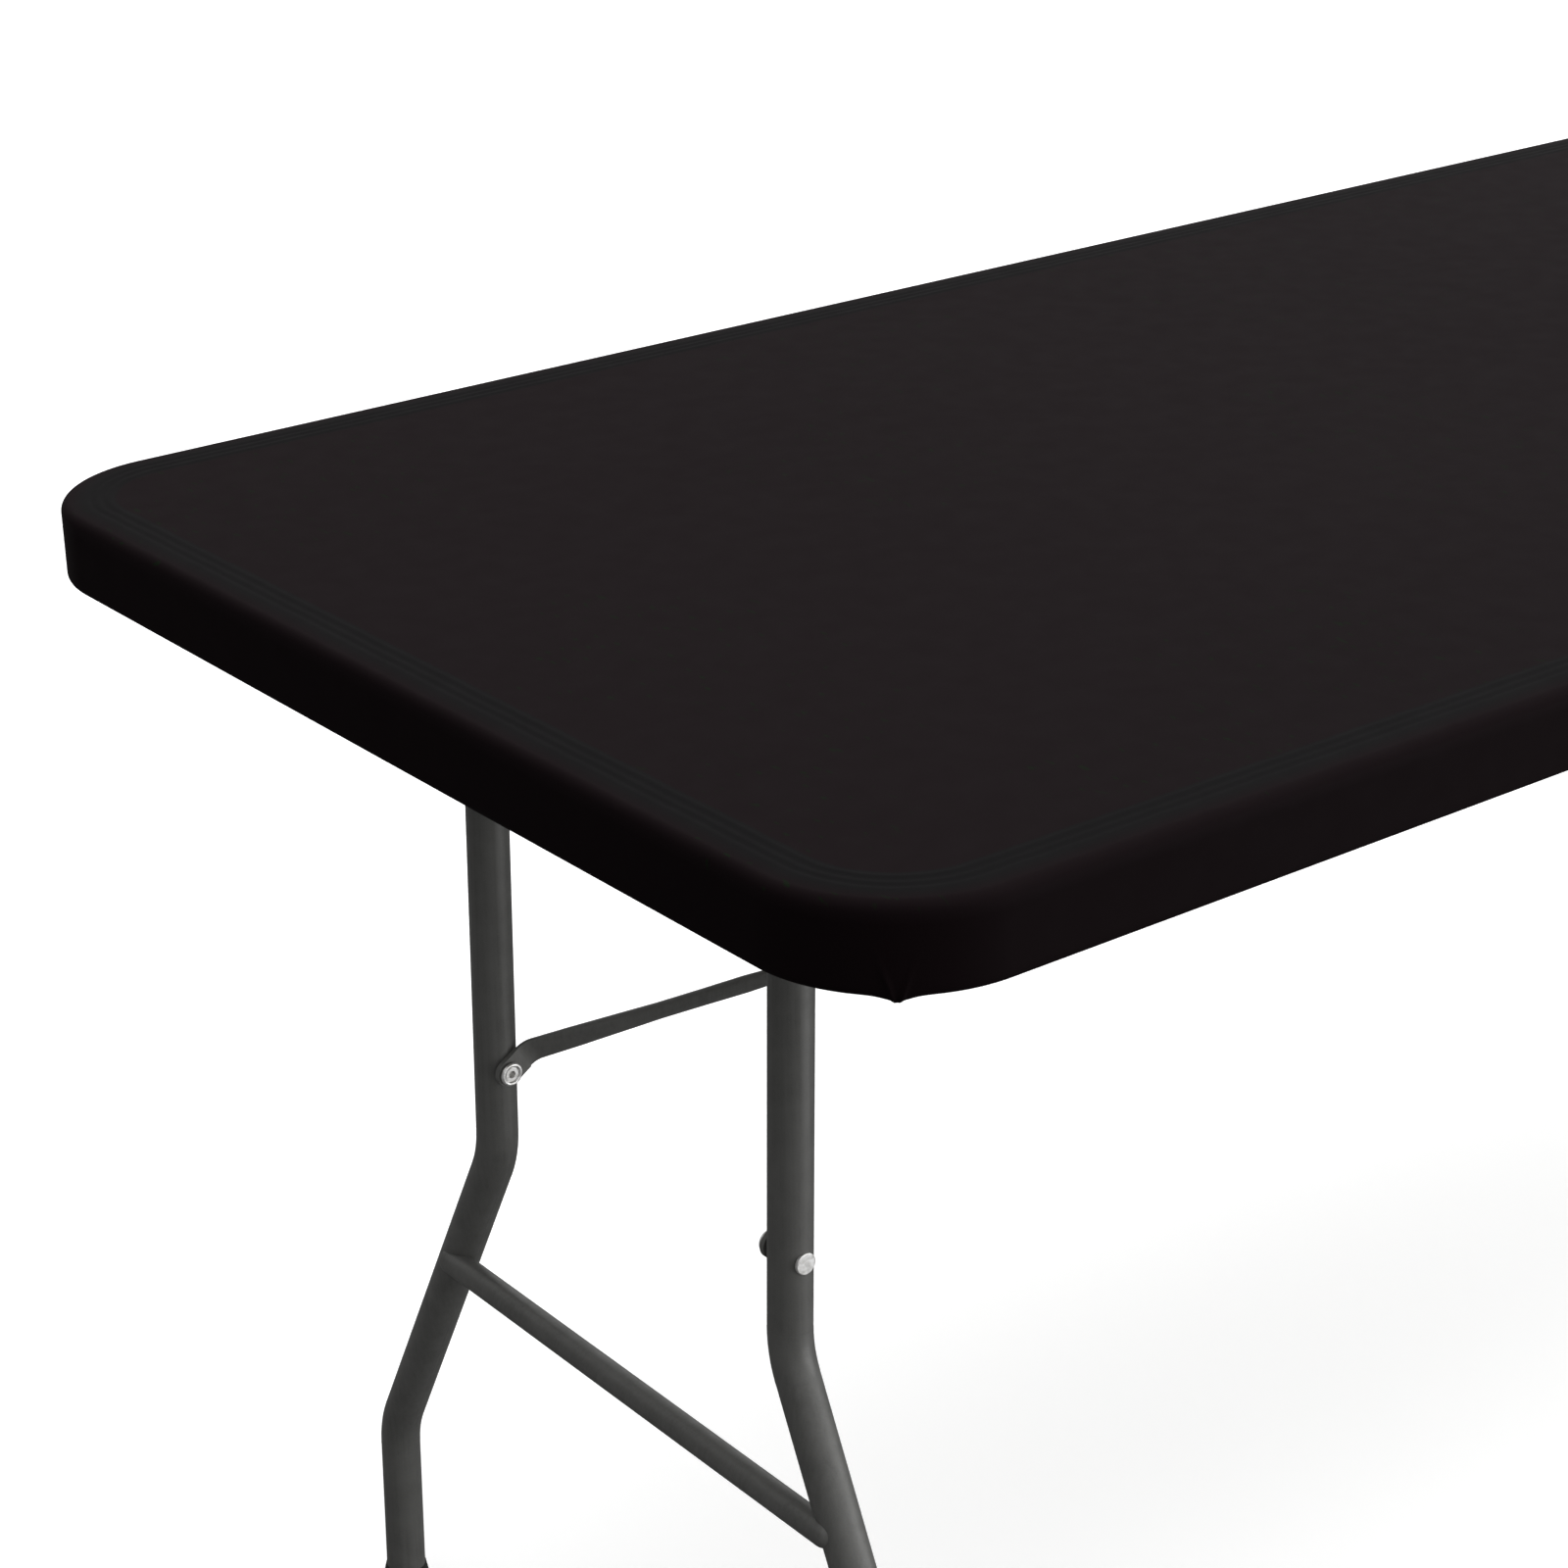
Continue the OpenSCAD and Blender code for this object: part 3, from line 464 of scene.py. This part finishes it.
# Pucker at the near corner: a hanging tuck, a ridge over it, and two creases that spread upward
PUCKER_CORNER = 3
PUCKER_ANGLE = math.radians(231)
PUCKER_REACH = 0.6
PUCKER_H = 0.0030
PUCKER_HALF = 0.0078
PUCKER_TALL = 0.009
PUCKER_FADE = 0.010
TUCK_H = 0.0010
TUCK_TALL = 0.0055
TUCK_SHARE = 0.42
CREASE_H = 0.0019
CREASE_HALF = 0.0010
CREASE_APART = 0.0010
CREASE_TALL = 0.012
CREASE_SPREAD = 0.42


def columns():
    """Places round the cover, counter-clockwise: foot point, outward angle, grid corner."""
    flat_x, flat_y = HALF_L - CORNER_R, HALF_W - CORNER_R
    steps_x, steps_y = round(2 * flat_x / GRID), round(2 * flat_y / GRID)
    corners = [(0, 0), (steps_x, 0), (steps_x, steps_y), (0, steps_y)]
    made = []
    for side in range(4):
        start, end = corners[side], corners[(side + 1) % 4]
        steps = max(abs(end[0] - start[0]), abs(end[1] - start[1]))
        angle = math.radians(90 * side - 90)
        for k in range(steps + 1):
            i = start[0] + (end[0] - start[0]) * k // steps
            j = start[1] + (end[1] - start[1]) * k // steps
            made.append(((i, j), angle))
        turns = PUCKER_STEPS if side == PUCKER_CORNER else CORNER_STEPS
        for k in range(1, turns):
            made.append((end, angle + math.pi / 2 * k / turns))
    places = []
    for (i, j), angle in made:
        foot = Vector((2 * flat_x * i / steps_x - flat_x, 2 * flat_y * j / steps_y - flat_y))
        places.append((foot, angle, (i, j)))
    return places, steps_x, steps_y


def section():
    """The cover's outer surface from the top to the hem: rows of kind, inset and height."""
    rows = [("top", inset, TOP_Z) for inset in TOP_INSETS]
    fine = [FINE_FROM - FINE_STEP * k for k in range(FINE_ROWS)]
    rows += [("top", inset, TOP_Z) for inset in fine]
    for k in range(ROUND_STEPS + 1):
        a = math.pi / 2 * (1 - k / ROUND_STEPS)
        rows.append(("edge", EDGE_R * (1 - math.cos(a)), TOP_Z - EDGE_R * (1 - math.sin(a))))
    skirt_low = HEM_Z + LOW_R
    skirt_h = TOP_Z - EDGE_R - skirt_low
    for share in SKIRT_SHARES:
        rows.append(("skirt", 0, TOP_Z - EDGE_R - share * skirt_h))
    for k in range(LOW_STEPS + 1):
        a = math.pi / 2 * k / LOW_STEPS
        rows.append(("skirt", LOW_R * (1 - math.cos(a)), skirt_low - LOW_R * math.sin(a)))
    roll_start = math.acos((HEM_Z - ROLL_Z) / ROLL_R)
    reach = HEM_W - ROLL_R * math.sin(roll_start)
    for k in range(1, HEM_STEPS + 1):
        rows.append(("hem", LOW_R + (reach - LOW_R) * k / HEM_STEPS, HEM_Z))
    for k in range(1, ROLL_STEPS + 1):
        a = roll_start + (2 * math.pi - roll_start - ROLL_GAP) * k / ROLL_STEPS
        rows.append(("roll", HEM_W - ROLL_R * math.sin(a), ROLL_Z + ROLL_R * math.cos(a)))
    return rows


def gather(angle, along):
    """How far the elastic puckers the hem: tight at the corners, faint along the sides."""
    turn = abs(math.sin(2 * angle))
    tight = min(1.0, 2.2 * turn)
    wander = noise.noise(Vector((along * 14, 3.1, 0)))
    quick = 0.5 + 0.5 * math.cos(2 * math.pi * along / PLEAT_L + 2.4 * wander)
    slow = 0.5 + 0.5 * math.cos(2 * math.pi * along / WAVE_L + 5 * wander)
    return tight * PLEAT_H * quick ** 1.5 + (1 - tight) * WAVE_H * slow


def bell(x, half):
    return math.exp(-((x / half) ** 2))


def pucker(across, up):
    """The pinched tuck low on the near corner: how far out it stands, and how far it hangs."""
    height = max(up, 0)
    tuck = bell(across, PUCKER_HALF * TUCK_SHARE) * math.exp(-height / TUCK_TALL)
    creases = 0.0
    for side in (-1, 1):
        lean = across - side * (CREASE_APART + CREASE_SPREAD * height)
        creases += bell(lean, CREASE_HALF) * bell(height, CREASE_TALL)
    return TUCK_H * tuck + CREASE_H * creases, PUCKER_H * bell(across, PUCKER_HALF)


def cover_sheet():
    """The cover's outer surface: a grid on the flat top, with rings hung round it to the roll."""
    places, steps_x, steps_y = columns()
    rows = section()
    mesh = bmesh.new()
    stretch = mesh.verts.layers.float.new("stretch")
    painted_side_shade = mesh.verts.layers.float.new("painted_side_shade")
    grid = {}
    flat_x, flat_y = HALF_L - CORNER_R, HALF_W - CORNER_R
    for i in range(steps_x + 1):
        for j in range(steps_y + 1):
            x = 2 * flat_x * i / steps_x - flat_x
            y = 2 * flat_y * j / steps_y - flat_y
            grid[i, j] = mesh.verts.new((x, y, TOP_Z))
    for i in range(steps_x):
        for j in range(steps_y):
            mesh.faces.new((grid[i, j], grid[i + 1, j], grid[i + 1, j + 1], grid[i, j + 1]))
    rings = [[grid[corner] for foot, angle, corner in places]]
    along = running_length(places)
    for kind, inset, z in rows:
        ring = []
        for (foot, angle, corner), run in zip(places, along):
            vert = mesh.verts.new(cover_point(kind, inset, z, foot, angle, run))
            # Mask of the rim band: painted sheen
            vert[stretch] = 1.0 if kind != "skirt" and RIM_SHEEN_BAND[0] < inset < RIM_SHEEN_BAND[1] else 0.0
            # Mask of the sides: painted shade
            vert[painted_side_shade] = 0.0 if kind in ("top", "edge") else 1.0
            ring.append(vert)
        rings.append(ring)
    count = len(places)
    for upper, lower in zip(rings, rings[1:]):
        for k in range(count):
            m = (k + 1) % count
            # At a corner of the grid, the upper two are one point
            loop = dict.fromkeys((upper[k], lower[k], lower[m], upper[m]))
            mesh.faces.new(list(loop))
    return mesh


def running_length(places):
    """Distance round the cover to each place."""
    lengths, total = [], 0.0
    last = None
    for foot, angle, corner in places:
        place = foot + CORNER_R * Vector((math.cos(angle), math.sin(angle)))
        if last is not None:
            total += (place - last).length
        lengths.append(total)
        last = place
    return lengths


def cover_point(kind, inset, z, foot, angle, run):
    """One point of the cover, with its ridge, pucker or gather."""
    outward = Vector((math.cos(angle), math.sin(angle)))
    place = foot + outward * (CORNER_R - inset)
    if kind == "top":
        z += sum(RIDGE_H * bell(inset - ridge, RIDGE_HALF) for ridge in RIDGES)
    near = math.remainder(angle - PUCKER_ANGLE, 2 * math.pi)
    if kind in ("skirt", "hem") and abs(near) < PUCKER_REACH:
        stand, hang = pucker(near * CORNER_R, z - HEM_Z)
        low = min(1.0, max(0.0, (HEM_Z + PUCKER_TALL - z) / PUCKER_TALL))
        fade = math.exp(-inset / PUCKER_FADE)
        place += outward * stand * fade
        z -= hang * low ** 2 * fade
    if kind in ("hem", "roll"):
        lift = gather(angle, run)
        if kind == "hem":
            share = (inset - LOW_R) / (HEM_W - LOW_R)
            z -= lift * math.sin(math.pi * min(1.0, share * 0.85)) * share
        else:
            from_roll = Vector((inset - HEM_W, z - ROLL_Z))
            swell = 1 + lift * ROLL_SWELL / ROLL_R * max(0.0, -from_roll.y / ROLL_R)
            place = foot + outward * (CORNER_R - HEM_W - from_roll.x * swell)
            z = ROLL_Z + from_roll.y * swell
    return (place.x, place.y, z)


def make_cover(cloth):
    """The cover, thickened inward from its outer surface."""
    bm = cover_sheet()
    mesh = bpy.data.meshes.new("cover_cloth")
    bm.to_mesh(mesh)
    bm.free()
    mesh.shade_smooth()
    cover = bpy.data.objects.new("cover_cloth", mesh)
    bpy.context.collection.objects.link(cover)
    thickness = cover.modifiers.new("thickness", "SOLIDIFY")
    thickness.thickness = CLOTH_T
    thickness.offset = -1
    mesh.materials.append(cloth)
    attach(cover, "tabletop")
    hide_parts("table_cover")
    return cover


# ---------------------------------------------------------------- hem stitching

STITCH_L = 0.0036
STITCH_GAP = 0.0014
STITCH_R = 0.00032
STITCH_INSET = 0.0270
STITCH_SIDES = 6
STITCH_RINGS = (-1.0, -0.82, 0.0, 0.82, 1.0)


def make_stitches(thread):
    """The seam that closes the hem round its elastic: short rounded stitches."""
    places, _, _ = columns()
    loop = []
    for foot, angle, corner in places:
        outward = Vector((math.cos(angle), math.sin(angle)))
        loop.append(foot + outward * (CORNER_R - STITCH_INSET))
    loop.append(loop[0])
    lengths = [0.0]
    for a, b in zip(loop, loop[1:]):
        lengths.append(lengths[-1] + (b - a).length)
    count = round(lengths[-1] / (STITCH_L + STITCH_GAP))
    pitch = lengths[-1] / count
    bm = bmesh.new()
    segment = 0
    for n in range(count):
        middle = (n + 0.5) * pitch
        while lengths[segment + 1] < middle:
            segment += 1
        a, b = loop[segment], loop[segment + 1]
        along = (b - a).normalized()
        centre = a + along * (middle - lengths[segment])
        add_stitch(bm, centre, along)
    mesh = bpy.data.meshes.new("hem_stitches")
    bm.to_mesh(mesh)
    bm.free()
    mesh.shade_smooth()
    stitches = bpy.data.objects.new("hem_stitches", mesh)
    bpy.context.collection.objects.link(stitches)
    mesh.materials.append(thread)
    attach(stitches, "tabletop")
    return stitches


def add_stitch(bm, centre, along):
    """One stitch, thinner and higher at its ends, where it sinks into the cloth."""
    side = Vector((-along.y, along.x))
    rings = []
    for share in STITCH_RINGS:
        thick = STITCH_R * math.sqrt(max(0.0, 1 - 0.9 * share * share))
        ring = []
        for k in range(STITCH_SIDES):
            a = 2 * math.pi * k / STITCH_SIDES
            flat = centre + along * share * STITCH_L / 2 + side * thick * math.cos(a)
            sink = 0.4 * STITCH_R * share * share
            ring.append(bm.verts.new((flat.x, flat.y, HEM_Z + sink + thick * math.sin(a))))
        rings.append(ring)
    for one, two in zip(rings, rings[1:]):
        for k in range(STITCH_SIDES):
            m = (k + 1) % STITCH_SIDES
            bm.faces.new((one[k], two[k], two[m], one[m]))
    bm.faces.new(list(rings[0]))
    bm.faces.new(list(reversed(rings[-1])))


# ---------------------------------------------------------------- brace arms

SHARP = math.radians(35)
WELD = 0.000001


def make_arms(finish):
    """The brace arms again, shaded as the smooth flattened tubes that they are."""
    for end in ("left", "right"):
        for side in ("front", "back"):
            node = frame["nodes"][f"brace_arm_{end}_{side}"]
            bm = bmesh.new()
            bm.from_mesh(node.data)
            bmesh.ops.remove_doubles(bm, verts=bm.verts, dist=WELD)
            for face in bm.faces:
                face.smooth = True
            for edge in bm.edges:
                edge.smooth = edge.calc_face_angle(0) < SHARP
            mesh = bpy.data.meshes.new(f"flattened_arm_{end}_{side}")
            bm.to_mesh(mesh)
            bm.free()
            mesh.materials.append(finish)
            arm = bpy.data.objects.new(mesh.name, mesh)
            bpy.context.collection.objects.link(arm)
            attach(arm, f"brace_{end}")
            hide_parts(node.name)


# ---------------------------------------------------------------- the scene

make_camera()
make_world()
make_stage()
make_key()
make_card()
dress_frame()
# The brace arms get a lighter copy of the coat: painted light
make_arms(coated_steel("flattened_steel_painted_light", ARM_LIFT_PAINTED_LIGHT))
cloth = stretch_cover()
cover = make_cover(cloth)
stitches = make_stitches(cloth)

bpy.context.scene.view_settings.view_transform = "Standard"
